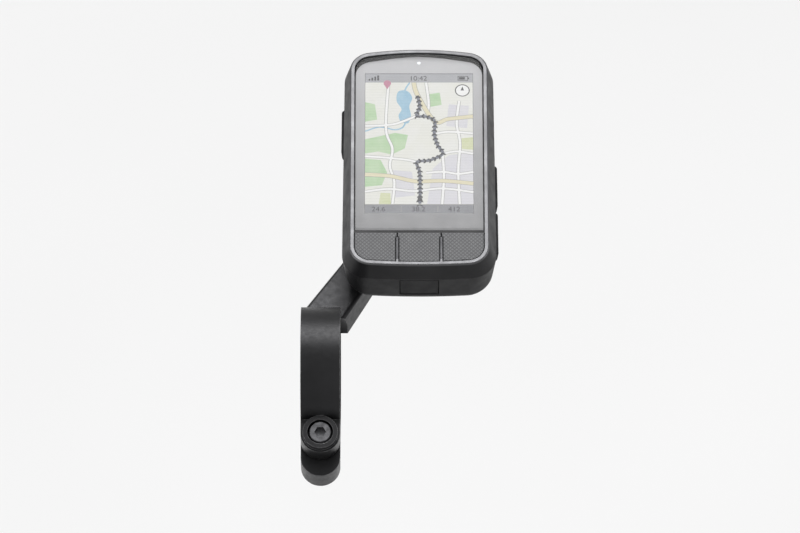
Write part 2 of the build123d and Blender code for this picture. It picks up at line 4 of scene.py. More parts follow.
import bpy
from mathutils import Matrix, Vector


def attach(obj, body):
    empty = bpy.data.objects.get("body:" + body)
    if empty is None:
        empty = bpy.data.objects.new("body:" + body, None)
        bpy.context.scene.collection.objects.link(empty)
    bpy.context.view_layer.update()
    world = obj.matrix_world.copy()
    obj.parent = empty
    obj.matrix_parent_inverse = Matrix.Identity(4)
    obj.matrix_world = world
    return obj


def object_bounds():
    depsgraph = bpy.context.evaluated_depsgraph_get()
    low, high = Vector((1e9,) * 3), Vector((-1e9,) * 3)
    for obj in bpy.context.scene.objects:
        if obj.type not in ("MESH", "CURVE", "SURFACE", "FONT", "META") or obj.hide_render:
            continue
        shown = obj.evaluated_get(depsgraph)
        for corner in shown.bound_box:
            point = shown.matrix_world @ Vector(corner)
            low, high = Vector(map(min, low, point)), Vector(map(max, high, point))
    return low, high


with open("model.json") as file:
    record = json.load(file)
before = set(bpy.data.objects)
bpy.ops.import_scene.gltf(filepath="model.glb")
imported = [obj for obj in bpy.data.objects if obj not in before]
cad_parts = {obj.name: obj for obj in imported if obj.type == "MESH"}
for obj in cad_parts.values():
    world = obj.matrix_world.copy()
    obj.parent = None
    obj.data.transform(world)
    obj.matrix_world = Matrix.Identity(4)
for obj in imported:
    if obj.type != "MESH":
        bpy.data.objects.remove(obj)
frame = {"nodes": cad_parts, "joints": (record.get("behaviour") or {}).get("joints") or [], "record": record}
cad_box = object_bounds()
CAD_LOW, CAD_HIGH = (Vector(corner) for corner in cad_box)
CENTRE = (CAD_LOW + CAD_HIGH) / 2

# The computer's own axes: millimetres, x to the rider's right, y forward along the face, z out of the face.
# Its origin is the middle of its underside, which is where the quarter-turn joint is.
MM = 0.001
TWIST = next(joint for joint in frame["joints"] if joint["name"] == "computer_twist")
FACE_NORMAL = Vector(TWIST["axis"]).normalized()
RIGHT = Vector((1, 0, 0))
FORWARD = FACE_NORMAL.cross(RIGHT)
COMPUTER = Matrix((RIGHT, FORWARD, FACE_NORMAL)).transposed().to_4x4()
COMPUTER.translation = Vector(TWIST["pos_m"])

# The bezel's colouring, in millimetres on those axes.
RIM_START, RIM_FULL = 19.45, 19.7                   # heights where the pale rim begins and is fully pale
RIDGE_HALF_WIDTH = 10                               # the ridges between the keys, either side of the middle
RIDGE_MIDDLE, RIDGE_HALF_LENGTH = -32.6, 5.1        # and where they lie along the face


def local_box(node):
    """A CAD node's lowest and highest corners in the computer's own axes, in millimetres."""
    to_local = COMPUTER.inverted()
    points = [to_local @ vertex.co / MM for vertex in frame["nodes"][node].data.vertices]
    low = Vector(min(p[i] for p in points) for i in range(3))
    high = Vector(max(p[i] for p in points) for i in range(3))
    return low, high


# ---- materials ----
def new_material(name):
    material = bpy.data.materials.new(name)
    material.use_nodes = True
    return material, material.node_tree, material.node_tree.nodes["Principled BSDF"]


def add(tree, kind, values=None, **settings):
    """A shader node with its settings and socket values."""
    made = tree.nodes.new("ShaderNode" + kind)
    for key, value in settings.items():
        setattr(made, key, value)
    for key, value in (values or {}).items():
        made.inputs[key].default_value = value
    return made


def place_in(tree):
    """Where a surface point is, in metres, fixed to its own piece."""
    return add(tree, "TexCoord").outputs["Object"]


def noise(tree, size_mm, detail=3.0, roughness=0.55):
    """A noise whose blotches are about size_mm across."""
    made = add(tree, "TexNoise", {"Scale": 1 / (size_mm * MM), "Detail": detail, "Roughness": roughness})
    tree.links.new(place_in(tree), made.inputs["Vector"])
    return made.outputs["Fac"]


def spread(tree, value, low, high, from_low=0.3, from_high=0.7):
    """The value's usual range, stretched to low..high."""
    made = add(tree, "MapRange", {
        "From Min": from_low, "From Max": from_high, "To Min": low, "To Max": high,
    })
    tree.links.new(value, made.inputs["Value"])
    return made.outputs["Result"]


def blend_colours(tree, factor, first, second):
    """The first colour at 0 and the second at 1; each is a fixed colour or another node's output."""
    made = add(tree, "Mix", data_type="RGBA")
    tree.links.new(factor, made.inputs["Factor"])
    first_socket, second_socket, result = made.inputs[6], made.inputs[7], made.outputs[2]  # the RGBA ones
    for socket, colour in ((first_socket, first), (second_socket, second)):
        if isinstance(colour, tuple):
            socket.default_value = (*colour, 1)
        else:
            tree.links.new(colour, socket)
    return result


def edge_wear(tree, radius_mm):
    """1 on sharp edges and 0 on flat faces, found from how far a rounded normal turns."""
    rounded = add(tree, "Bevel", {"Radius": radius_mm * MM}, samples=6)
    flat = add(tree, "NewGeometry")
    match = add(tree, "VectorMath", operation="DOT_PRODUCT")
    tree.links.new(rounded.outputs["Normal"], match.inputs[0])
    tree.links.new(flat.outputs["Normal"], match.inputs[1])
    return spread(tree, match.outputs["Value"], 1.0, 0.0, 0.8, 0.99)


def bump(tree, height, depth_mm, strength, edge_mm=0.0):
    """A bump normal over edges that are rounded off by edge_mm."""
    made = add(tree, "Bump", {"Distance": depth_mm * MM, "Strength": strength})
    tree.links.new(height, made.inputs["Height"])
    if edge_mm:
        rounded = add(tree, "Bevel", {"Radius": edge_mm * MM}, samples=6)
        tree.links.new(rounded.outputs["Normal"], made.inputs["Normal"])
    return made.outputs["Normal"]


def moulded(name, dark, light, rough, grain_mm, depth_mm=0.02, edge_mm=0.15, wear=0.35, specular=0.5):
    """Moulded plastic or rubber: spark-eroded grain, cloudy tone, paler rubbed edges."""
    material, tree, bsdf = new_material(name)
    tone = blend_colours(tree, spread(tree, noise(tree, 9.0), 0, 1), dark, light)
    worn = tuple(min(1.0, c * 2.2 + 0.02) for c in light)
    rub = add(tree, "Math", operation="MULTIPLY")
    tree.links.new(edge_wear(tree, edge_mm * 2), rub.inputs[0])
    tree.links.new(spread(tree, noise(tree, 3.0), 0, wear), rub.inputs[1])
    tree.links.new(blend_colours(tree, rub.outputs[0], tone, worn), bsdf.inputs["Base Color"])
    tree.links.new(spread(tree, noise(tree, 4.0), rough - 0.07, rough + 0.07), bsdf.inputs["Roughness"])
    tree.links.new(bump(tree, noise(tree, grain_mm, 2.0), depth_mm, 0.5, edge_mm), bsdf.inputs["Normal"])
    bsdf.inputs["Specular IOR Level"].default_value = specular
    return material


def anodised(name, dark, light, rough):
    """Bead-blasted, anodised aluminium: fine pits, a satin sheen and paler worn edges."""
    material, tree, bsdf = new_material(name)
    tone = blend_colours(tree, spread(tree, noise(tree, 12.0), 0, 1), dark, light)
    rub = add(tree, "Math", operation="MULTIPLY")
    tree.links.new(edge_wear(tree, 0.35), rub.inputs[0])
    tree.links.new(spread(tree, noise(tree, 2.2, 5.0), 0, 0.75), rub.inputs[1])
    tree.links.new(blend_colours(tree, rub.outputs[0], tone, (0.42, 0.42, 0.43)), bsdf.inputs["Base Color"])
    tree.links.new(spread(tree, noise(tree, 1.5), rough - 0.06, rough + 0.08), bsdf.inputs["Roughness"])
    tree.links.new(bump(tree, noise(tree, 0.12, 2.0), 0.02, 0.45, 0.25), bsdf.inputs["Normal"])
    bsdf.inputs["Metallic"].default_value = 0.6
    return material


def measured_along(tree, axis):
    """How far a point lies along one of the computer's own axes, in millimetres."""
    offset = add(tree, "VectorMath", operation="SUBTRACT")
    tree.links.new(place_in(tree), offset.inputs[0])
    offset.inputs[1].default_value = COMPUTER.translation
    reach = add(tree, "VectorMath", operation="DOT_PRODUCT")
    tree.links.new(offset.outputs["Vector"], reach.inputs[0])
    reach.inputs[1].default_value = axis / MM
    return reach.outputs["Value"]


def within(tree, value, middle, half):
    """1 where a value is no further than half from the middle, and 0 elsewhere."""
    made = add(tree, "Math", operation="COMPARE")
    tree.links.new(value, made.inputs[0])
    made.inputs[1].default_value = middle
    made.inputs[2].default_value = half
    return made.outputs[0]


def rimmed_bezel():
    """Black moulding with a pale satin rim; the ridges between the keys are much darker."""
    material = moulded("bezel_black", (0.006, 0.006, 0.007), (0.011, 0.011, 0.012), rough=0.42,
                       grain_mm=0.30, depth_mm=0.008, edge_mm=0.2, wear=0.3, specular=0.25)
    tree = material.node_tree
    bsdf = tree.nodes["Principled BSDF"]
    top = spread(tree, measured_along(tree, FACE_NORMAL), 0, 1, RIM_START, RIM_FULL)
    ridge = add(tree, "Math", operation="MULTIPLY")
    across = within(tree, measured_along(tree, RIGHT), 0, RIDGE_HALF_WIDTH)
    along = within(tree, measured_along(tree, FORWARD), RIDGE_MIDDLE, RIDGE_HALF_LENGTH)
    tree.links.new(across, ridge.inputs[0])
    tree.links.new(along, ridge.inputs[1])
    rim_tone = blend_colours(tree, ridge.outputs[0], (0.135, 0.135, 0.14), (0.06, 0.06, 0.063))
    body_tone = bsdf.inputs["Base Color"].links[0].from_socket
    tree.links.new(blend_colours(tree, top, body_tone, rim_tone), bsdf.inputs["Base Color"])
    tree.links.new(top, bsdf.inputs["Metallic"])
    return material


def turned_steel(name, dark, light, rough):
    """Plated steel with a fine drawn grain and a few darker smears."""
    material, tree, bsdf = new_material(name)
    stretch = add(tree, "Mapping", {"Scale": (1, 1, 9)})
    tree.links.new(place_in(tree), stretch.inputs["Vector"])
    grain = add(tree, "TexNoise", {"Scale": 1 / (0.5 * MM), "Detail": 4.0})
    tree.links.new(stretch.outputs["Vector"], grain.inputs["Vector"])
    smear = spread(tree, noise(tree, 1.8, 5.0), 0, 1)
    tree.links.new(blend_colours(tree, smear, dark, light), bsdf.inputs["Base Color"])
    tree.links.new(spread(tree, grain.outputs["Fac"], rough - 0.1, rough + 0.12), bsdf.inputs["Roughness"])
    tree.links.new(bump(tree, grain.outputs["Fac"], 0.01, 0.35, 0.1), bsdf.inputs["Normal"])
    bsdf.inputs["Metallic"].default_value = 1.0
    return material


def anti_glare_glass():
    """Thin clear glass with an etched top that spreads reflections, and faint finger smears."""
    material, tree, bsdf = new_material("anti_glare_glass")
    smears = spread(tree, noise(tree, 7.0, 4.0), 0, 1)
    tone = blend_colours(tree, smears, (0.02, 0.02, 0.02), (0.05, 0.05, 0.05))
    tree.links.new(tone, bsdf.inputs["Base Color"])
    tree.links.new(spread(tree, noise(tree, 7.0, 4.0), 0.22, 0.30), bsdf.inputs["Roughness"])
    tree.links.new(bump(tree, noise(tree, 0.08, 1.0), 0.002, 0.25), bsdf.inputs["Normal"])
    bsdf.inputs["IOR"].default_value = 1.9
    bsdf.inputs["Alpha"].default_value = 0.15
    return material


def textured_key_groove_shade():
    """Soft dark key: small raised diamonds in a diagonal grid, for gloved fingers; the grooves between them
    are painted darker than the tops, as painted shade.
    """
    material, tree, bsdf = new_material("textured_key_groove_shade")
    pitch = 0.9 * MM
    turned = add(tree, "Mapping", {"Rotation": (0, 0, math.radians(45)), "Scale": (1 / pitch,) * 3})
    tree.links.new(place_in(tree), turned.inputs["Vector"])
    grid = add(tree, "TexVoronoi", {"Scale": 1.0, "Randomness": 0.0}, distance="CHEBYCHEV")
    grid.voronoi_dimensions = "2D"
    tree.links.new(turned.outputs["Vector"], grid.inputs["Vector"])
    diamond_height_and_painted_shade = spread(tree, grid.outputs["Distance"], 1, 0, 0.25, 0.5)
    # Painted shade: the height that raises the diamonds also colours them, darker in the grooves and paler on
    # the tops.
    tone = blend_colours(tree, diamond_height_and_painted_shade, (0.085, 0.086, 0.090), (0.155, 0.156, 0.161))
    tree.links.new(tone, bsdf.inputs["Base Color"])
    tree.links.new(spread(tree, noise(tree, 2.5), 0.48, 0.62), bsdf.inputs["Roughness"])
    both = add(tree, "Math", operation="MULTIPLY_ADD")
    tree.links.new(noise(tree, 0.12), both.inputs[0])
    both.inputs[1].default_value = 0.25
    tree.links.new(diamond_height_and_painted_shade, both.inputs[2])
    tree.links.new(bump(tree, both.outputs[0], 0.10, 0.7, 0.2), bsdf.inputs["Normal"])
    return material


def lit(name, colour, strength, second=None, blotch_mm=3.0):
    """One colour of the lit screen, with its fine cell grid and a slight unevenness."""
    material, tree, bsdf = new_material(name)
    tone = blend_colours(tree, spread(tree, noise(tree, blotch_mm), 0, 1), colour, second or colour)
    cells = add(tree, "TexVoronoi", {"Scale": 1 / (0.16 * MM), "Randomness": 0.0}, distance="CHEBYCHEV")
    tree.links.new(place_in(tree), cells.inputs["Vector"])
    gain = spread(tree, cells.outputs["Distance"], strength, strength * 0.86, 0.35, 0.5)
    tree.links.new(tone, bsdf.inputs["Emission Color"])
    tree.links.new(gain, bsdf.inputs["Emission Strength"])
    tree.links.new(spread(tree, noise(tree, 5.0), 0.35, 0.5), bsdf.inputs["Roughness"])
    bsdf.inputs["Base Color"].default_value = (0.02, 0.02, 0.022, 1)
    bsdf.inputs["Specular IOR Level"].default_value = 0.1
    return material


def circuit_board():
    """Green solder mask over a maze of paler tracks."""
    material, tree, bsdf = new_material("circuit_board")
    tracks = add(tree, "TexBrick", {"Scale": 1 / (4 * MM), "Mortar Size": 0.03}, offset=0.37)
    tree.links.new(place_in(tree), tracks.inputs["Vector"])
    tone = blend_colours(tree, tracks.outputs["Fac"], (0.006, 0.075, 0.035), (0.02, 0.20, 0.09))
    tree.links.new(tone, bsdf.inputs["Base Color"])
    tree.links.new(spread(tree, noise(tree, 2.0), 0.3, 0.42), bsdf.inputs["Roughness"])
    tree.links.new(bump(tree, tracks.outputs["Fac"], 0.03, 0.4), bsdf.inputs["Normal"])
    return material


BLACK = ((0.005, 0.005, 0.006), (0.010, 0.010, 0.011))
MATERIALS = {
    "case_black": moulded("case_black", *BLACK, rough=0.52, grain_mm=0.22, specular=0.25),
    "bezel_black": rimmed_bezel(),
    "key_dark": textured_key_groove_shade(),
    "button_rubber": moulded("button_rubber", (0.009, 0.009, 0.010), (0.016, 0.016, 0.017), rough=0.7,
                             grain_mm=0.15, edge_mm=0.25, specular=0.3),
    "cover_glass": anti_glare_glass(),
    "display": moulded("panel_edge", (0.05, 0.05, 0.055), (0.08, 0.08, 0.085), rough=0.3, grain_mm=0.5),
    "light_guide": moulded("light_guide", (0.62, 0.64, 0.66), (0.74, 0.76, 0.78), rough=0.22,
                           grain_mm=0.6, depth_mm=0.005),
    "adhesive_black": moulded("adhesive_black", *BLACK, rough=0.8, grain_mm=0.1),
    "flex_amber": moulded("flex_amber", (0.34, 0.13, 0.02), (0.50, 0.22, 0.04), rough=0.3, grain_mm=0.4),
    "board_green": circuit_board(),
    "chip_black": moulded("chip_black", (0.02, 0.02, 0.022), (0.035, 0.035, 0.037), rough=0.5, grain_mm=0.1),
    "tin_plate": turned_steel("tin_plate", (0.50, 0.51, 0.52), (0.66, 0.67, 0.68), rough=0.32),
    "screw_steel": turned_steel("screw_steel", (0.10, 0.10, 0.105), (0.20, 0.20, 0.21), rough=0.36),
    "antenna_ceramic": moulded("antenna_ceramic", (0.66, 0.60, 0.50), (0.76, 0.71, 0.62), rough=0.5,
                               grain_mm=0.15),
    "battery_foil": turned_steel("battery_foil", (0.46, 0.47, 0.48), (0.60, 0.61, 0.62), rough=0.4),
    "foam_grey": moulded("foam_grey", (0.12, 0.12, 0.125), (0.22, 0.22, 0.23), rough=0.9, grain_mm=0.35,
                         depth_mm=0.12),
    "lead_red": moulded("lead_red", (0.30, 0.012, 0.012), (0.42, 0.03, 0.03), rough=0.5, grain_mm=0.3),
    "plug_white": moulded("plug_white", (0.70, 0.69, 0.63), (0.80, 0.79, 0.74), rough=0.5, grain_mm=0.3),
    "frame_grey": moulded("frame_grey", (0.06, 0.06, 0.063), (0.10, 0.10, 0.104), rough=0.6, grain_mm=0.25),
    "lug_plastic": moulded("lug_plastic", (0.022, 0.022, 0.024), (0.035, 0.035, 0.037), rough=0.45,
                           grain_mm=0.3, wear=0.6),
    "ring_plastic": moulded("ring_plastic", (0.014, 0.014, 0.015), (0.024, 0.024, 0.026), rough=0.55,
                            grain_mm=0.3),
    "mount_metal": anodised("mount_metal", (0.018, 0.018, 0.019), (0.028, 0.028, 0.030), rough=0.38),
    "liner_rubber": moulded("liner_rubber", (0.012, 0.012, 0.012), (0.022, 0.022, 0.022), rough=0.85,
                            grain_mm=0.2, depth_mm=0.05),
}


def dress_cad_nodes():
    """Every CAD node takes the material of its slot in the record."""
    for part in frame["record"]["subparts"]:
        mesh = frame["nodes"][part["node"]].data
        mesh.materials.clear()
        mesh.materials.append(MATERIALS[part["material_slot"]])


# ---- flat pieces of the lit screen, in the computer's own axes ----
PANEL_LOW, PANEL_HIGH = local_box("display_panel")
GLASS_LOW, GLASS_HIGH = local_box("cover_glass")
EDGE = 0.5                       # unlit edge of the display panel
LEFT, RIGHT_SIDE = PANEL_LOW.x + EDGE, PANEL_HIGH.x - EDGE
BOTTOM, TOP = PANEL_LOW.y + EDGE, PANEL_HIGH.y - EDGE
ROW = 3.3                        # height of the status row and of the bottom row
MAP_BOTTOM, MAP_TOP = BOTTOM + ROW, TOP - ROW
GAP = GLASS_LOW.z - PANEL_HIGH.z
LAYERS = 10                      # the screen's own layers are 0 to 9, and the prints come after them
PRINT_STEP = 0.01                # between the prints, and from the glass's underside to the first


def layer(index):
    """Height of a thin layer: between the panel and the glass, or just inside the glass for the prints."""
    if index >= LAYERS:
        return GLASS_LOW.z + PRINT_STEP * (index - LAYERS + 1)
    return PANEL_HIGH.z + GAP * (index + 1) / (LAYERS + 2)


def flat_piece(name, shapes, index, material, body="computer"):
    """One mesh of flat outlines, each a list of (x, y) points, at a layer's height."""
    vertices, faces = [], []
    for shape in shapes:
        faces.append(list(range(len(vertices), len(vertices) + len(shape))))
        vertices += [COMPUTER @ (Vector((x, y, layer(index))) * MM) for x, y in shape]
    mesh = bpy.data.meshes.new(name)
    mesh.from_pydata(vertices, [], faces)
    mesh.materials.append(material)
    piece = bpy.data.objects.new(name, mesh)
    bpy.context.scene.collection.objects.link(piece)
    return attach(piece, body)


def rectangle(x0, y0, x1, y1):
    return [(x0, y0), (x1, y0), (x1, y1), (x0, y1)]


def disc(x, y, radius, sides=28):
    return [
        (x + radius * math.cos(math.tau * i / sides), y + radius * math.sin(math.tau * i / sides))
        for i in range(sides)
    ]


def hoop(x, y, radius, width, sides=32):
    """A ring as four-sided pieces."""
    inner, outer = disc(x, y, radius - width, sides), disc(x, y, radius, sides)
    return [
        [outer[i - 1], outer[i], inner[i], inner[i - 1]]
        for i in range(sides)
    ]


def sides_of(points, width):
    """The left and right edges of a ribbon along a line of points, with mitred corners."""
    points = [Vector(p) for p in points]
    left, right = [], []
    for i, point in enumerate(points):
        before = (point - points[i - 1]).normalized() if i else None
        after = (points[i + 1] - point).normalized() if i + 1 < len(points) else None
        along = ((before or after) + (after or before)).normalized()
        across = Vector((-along.y, along.x))
        lean = (before or after).dot(along)
        reach = across * width / 2 / max(lean, 0.4)
        left.append(tuple(point + reach))
        right.append(tuple(point - reach))
    return left, right


def ribbon(points, width):
    """A ribbon along a line of points, as four-sided pieces."""
    left, right = sides_of(points, width)
    return [
        [left[i], right[i], right[i + 1], left[i + 1]]
        for i in range(len(points) - 1)
    ]


def chevrons(line, spacing, width, length):
    """Arrow heads along a line, evenly spaced."""
    shapes, left_over = [], 0.0
    points = [Vector(p) for p in line]
    for start, end in zip(points, points[1:]):
        run = (end - start).length
        along = (end - start) / run if run else Vector((0, 1))
        across = Vector((-along.y, along.x))
        while left_over < run:
            tip = start + along * left_over
            wing = across * width / 2
            back = along * length
            notch = tip - back * 0.85
            left = [tip, notch, tip - back * 1.6 + wing, tip - back * 0.75 + wing]
            right = [tip, tip - back * 0.75 - wing, tip - back * 1.6 - wing, notch]
            shapes += [[tuple(point) for point in half] for half in (left, right)]
            left_over += spacing
        left_over -= run
    return shapes


def smooth(points, steps=6):
    """A curve through the points, as a longer list of points."""
    points = [Vector(p) for p in points]
    padded = [points[0]] + points + [points[-1]]
    curve = []
    for i in range(1, len(padded) - 2):
        a, b, c, d = padded[i - 1:i + 3]
        for step in range(steps):
            t = step / steps
            curve.append(0.5 * ((2 * b) + (c - a) * t + (2 * a - 5 * b + 4 * c - d) * t * t
                                + (3 * b - a - 3 * c + d) * t ** 3))
    return [tuple(p) for p in curve + [points[-1]]]


def digits(text, x, y, height, index, material, name):
    """Numbers on the screen, as a flat mesh."""
    curve = bpy.data.curves.new(name, "FONT")
    curve.body = text
    curve.size = height
    maker = bpy.data.objects.new(name, curve)
    bpy.context.scene.collection.objects.link(maker)
    bpy.context.view_layer.update()
    mesh = bpy.data.meshes.new_from_object(maker)
    bpy.data.objects.remove(maker)
    for vertex in mesh.vertices:
        vertex.co = COMPUTER @ (Vector((x + vertex.co.x, y + vertex.co.y, layer(index))) * MM)
    mesh.materials.clear()
    mesh.materials.append(material)
    piece = bpy.data.objects.new(name, mesh)
    bpy.context.scene.collection.objects.link(piece)
    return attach(piece, "computer")


def build_screen():
    """The map page: land, parks, water, roads, the route with its arrows, and two rows of figures."""
    land = lit("screen_land", (0.90, 0.90, 0.82), 0.98, (0.94, 0.94, 0.90), 6.0)
    park = lit("screen_park", (0.50, 0.76, 0.42), 0.92, (0.64, 0.84, 0.54), 4.0)
    wood = lit("screen_wood", (0.76, 0.82, 0.46), 0.92, (0.84, 0.86, 0.58), 4.0)
    water = lit("screen_water", (0.34, 0.62, 0.82), 0.90, (0.44, 0.70, 0.88))
    town = lit("screen_town", (0.80, 0.79, 0.86), 0.94, (0.86, 0.85, 0.88), 5.0)
    casing = lit("screen_road_edge", (0.62, 0.62, 0.58), 0.60)
    road = lit("screen_road", (0.98, 0.98, 0.97), 1.05)
    main_road = lit("screen_main_road", (0.98, 0.90, 0.62), 0.88)
    ink = lit("screen_ink", (0.03, 0.03, 0.05), 0.25)
    accent = lit("screen_accent", (0.80, 0.30, 0.45), 0.75)
    top_bar = lit("screen_top_bar", (0.52, 0.53, 0.56), 0.80, (0.56, 0.57, 0.60))
    low_bar = lit("screen_low_bar", (0.34, 0.35, 0.38), 0.72, (0.38, 0.39, 0.42))

    flat_piece("screen_base", [rectangle(LEFT, BOTTOM, RIGHT_SIDE, TOP)], 0, land)
    flat_piece("map_town", [
        [(2.4, MAP_BOTTOM), (RIGHT_SIDE, MAP_BOTTOM), (RIGHT_SIDE, 3.2), (9.0, 2.0), (4.2, -3.0)],
        [(-8.0, -3.5), (-2.2, -4.2), (-1.2, -13.0), (-7.2, -13.8)],
        [(8.4, 13.0), (14.8, 12.2), (15.4, 20.6), (9.2, 21.2)],
    ], 1, town)
    flat_piece("map_park", [
        [(LEFT, -9.8), (-11.4, -9.2), (-9.8, -4.4), (-11.8, 0.2), (LEFT, 0.8)],
        [(LEFT, 2.6), (-12.6, 3.4), (-8.4, 2.2), (-4.4, 4.6), (-3.4, 9.6), (-7.4, 10.4), (LEFT, 8.0)],
        [(LEFT, 14.6), (-12.9, 15.4), (-13.6, 21.2), (LEFT, 22.0)],
        [(3.4, 20.2), (7.0, 21.0), (6.4, 25.6), (2.8, 25.0)],
    ], 1, park)
    flat_piece("map_wood", [
        [(12.0, 4.6), (RIGHT_SIDE, 4.0), (RIGHT_SIDE, 8.8), (13.2, 8.4)],
        [(-12.4, MAP_BOTTOM), (-8.6, MAP_BOTTOM), (-8.8, -12.2), (-11.8, -12.0)],
    ], 1, wood)
    lake = [(-5.8, 14.6), (-3.4, 14.0), (-2.5, 17.0), (-3.0, 20.4), (-2.1, 23.6), (-3.6, 26.2),
            (-6.4, 26.0), (-6.9, 22.4), (-5.4, 19.4), (-6.3, 17.0), (-5.8, 14.6)]
    stream = smooth([
        (-2.9, MAP_TOP), (-4.6, 25.0), (-4.2, 14.4), (-7.0, 11.6), (-12.0, 12.6), (LEFT, 11.0),
    ])
    flat_piece("map_water", [smooth(lake)[:-1]] + ribbon(stream, 0.5), 2, water)

    lanes = [
        [(LEFT, -11.6), (-9.2, -10.6), (-1.6, -11.4), (7.0, -10.4), (RIGHT_SIDE, -11.8)],
        [(LEFT, 1.6), (-9.4, 1.0), (-3.4, 0.2), (-0.6, -0.6)],
        [(-8.2, MAP_BOTTOM), (-7.6, -8.0), (-9.0, -2.0), (-8.2, 4.4), (-10.2, 12.0), (-9.4, MAP_TOP)],
        [(7.2, 2.5), (11.4, 3.4), (RIGHT_SIDE, 2.6)],
        [(7.0, MAP_BOTTOM), (7.6, -6.0), (7.2, 2.5)],
        [(12.4, MAP_BOTTOM), (12.0, -4.0), (12.6, 6.4), (11.6, 14.0), (12.4, 22.4)],
        [(4.7, 9.9), (9.0, 10.8), (RIGHT_SIDE, 10.2)],
        [(-0.7, 16.8), (-8.0, 13.6), (LEFT, 13.0)],
        [(2.2, 16.5), (3.0, 21.0), (2.2, MAP_TOP)],
        [(2.2, -4.6), (7.4, -4.2), (12.0, -5.0), (RIGHT_SIDE, -4.2)],
    ]
    lanes = [smooth(lane) for lane in lanes]
    avenue = smooth([
        (LEFT, -5.2), (-9.0, -5.8), (-3.0, -7.4), (0.3, -7.8), (7.6, -7.6), (RIGHT_SIDE, -8.6),
    ])
    ring_road = smooth([(RIGHT_SIDE, 16.6), (9.0, 15.6), (4.8, 14.7), (-0.4, 24.5), (-1.6, MAP_TOP)])
    wide, narrow, margin = 1.25, 0.75, 0.3
    flat_piece("map_road_edges", sum((ribbon(lane, narrow + margin) for lane in lanes), []), 3, casing)
    flat_piece("map_roads", sum((ribbon(lane, narrow) for lane in lanes), []), 4, road)
    main_edges = ribbon(avenue, wide + margin) + ribbon(ring_road, wide + margin)
    flat_piece("map_main_road_edges", main_edges, 5, casing)
    flat_piece("map_main_roads", ribbon(avenue, wide) + ribbon(ring_road, wide), 6, main_road)

    route = smooth([
        (0.2, MAP_BOTTOM + 0.4), (0.3, -9.0), (0.1, -4.1), (-0.6, -0.6), (3.4, 0.1), (7.2, 2.5), (5.7, 5.7),
        (4.7, 9.9), (4.8, 14.7), (2.2, 16.5), (-0.7, 16.8), (0.2, 20.3), (-0.5, 24.5),
    ], 10)
    flat_piece("map_route", ribbon(route, 1.0), 7, lit("screen_route", (0.30, 0.33, 0.42), 0.5))
    flat_piece("map_route_arrows", chevrons(route, spacing=1.55, width=1.7, length=0.75), 8, ink)
    rider = (0.2, MAP_BOTTOM + 2.2)
    flat_piece("map_rider", [[
        (rider[0] - 1.15, rider[1] - 1.5), (rider[0], rider[1] - 0.9), (rider[0] + 1.15, rider[1] - 1.5),
        (rider[0], rider[1] + 1.7),
    ]], 9, ink)
    north = (RIGHT_SIDE - 3.2, MAP_TOP - 3.0)
    flat_piece("map_compass_face", [disc(*north, 2.2)], 7, road)
    flat_piece("map_compass", hoop(*north, 2.3, 0.32) + [
        [(north[0] - 0.55, north[1]), (north[0] + 0.55, north[1]), (north[0], north[1] + 1.55)],
    ], 8, ink)
    flat_piece("map_flag", [disc(-9.8, MAP_TOP - 0.3, 1.15)] + [
        [(-10.7, MAP_TOP - 0.9), (-8.9, MAP_TOP - 0.9), (-9.8, MAP_TOP - 2.6)],
    ], 8, accent)

    flat_piece("status_row", [rectangle(LEFT, MAP_TOP, RIGHT_SIDE, TOP)], 7, top_bar)
    flat_piece("figure_row", [rectangle(LEFT, BOTTOM, RIGHT_SIDE, MAP_BOTTOM)], 7, low_bar)
    flat_piece("row_lines", [
        rectangle(LEFT, MAP_BOTTOM - 0.12, RIGHT_SIDE, MAP_BOTTOM + 0.12),
        rectangle(-5.6, BOTTOM + 0.5, -5.4, MAP_BOTTOM - 0.5),
        rectangle(5.6, BOTTOM + 0.5, 5.8, MAP_BOTTOM - 0.5),
    ], 9, casing)
    inset, text_size = 0.75, 2.5
    text_y = TOP - ROW + inset
    digits("10:42", -3.0, text_y, text_size, 9, ink, "clock_figures")
    digits("24.6", -14.6, BOTTOM + inset, text_size, 9, ink, "speed_figures")
    digits("38.2", -2.4, BOTTOM + inset, text_size, 9, ink, "distance_figures")
    digits("412", 8.8, BOTTOM + inset, text_size, 9, ink, "climb_figures")
    flat_piece("signal_bars", [
        rectangle(LEFT + 1.0 + 0.9 * i, text_y, LEFT + 1.55 + 0.9 * i, text_y + 0.6 + 0.45 * i)
        for i in range(4)
    ], 9, ink)
    cell = RIGHT_SIDE - 4.6          # the battery sign's left edge
    flat_piece("battery_sign", [
        rectangle(cell, text_y, cell + 3.2, text_y + 0.2),
        rectangle(cell, text_y + 1.5, cell + 3.2, text_y + 1.7),
        rectangle(cell, text_y + 0.2, cell + 0.2, text_y + 1.5),
        rectangle(cell + 3.0, text_y + 0.2, cell + 3.2, text_y + 1.5),
        rectangle(cell + 0.4, text_y + 0.4, cell + 2.2, text_y + 1.3),
        rectangle(cell + 3.2, text_y + 0.55, cell + 3.5, text_y + 1.15),
    ], 9, ink)


def border_ink_and_painted_glare():
    """Grey ink under the glass, with painted glare: paler towards the front as a painted reflection of the
    overhead softbox on the anti-glare glass, and a faint painted glow of its own that stands in for that
    glare.
    """
    material = moulded("glass_print_and_painted_glare", (0.16, 0.16, 0.165), (0.19, 0.19, 0.195), rough=0.5, grain_mm=0.3,
                       depth_mm=0.002, wear=0.0)
    tree = material.node_tree
    bsdf = tree.nodes["Principled BSDF"]
    # Painted glare: paler towards the front, standing in for the softbox's reflection on the anti-glare
    # glass.
    painted_glare_rise = spread(tree, measured_along(tree, FORWARD), 0, 1, GLASS_LOW.y, GLASS_HIGH.y)
    rear_tone = bsdf.inputs["Base Color"].links[0].from_socket
    tone = blend_colours(tree, painted_glare_rise, rear_tone, (0.36, 0.36, 0.37))
    tree.links.new(tone, bsdf.inputs["Base Color"])
    # Painted glow: the print gives a little light of its own, standing in for the same glare.
    tree.links.new(tone, bsdf.inputs["Emission Color"])
    bsdf.inputs["Emission Strength"].default_value = 0.5
    return material


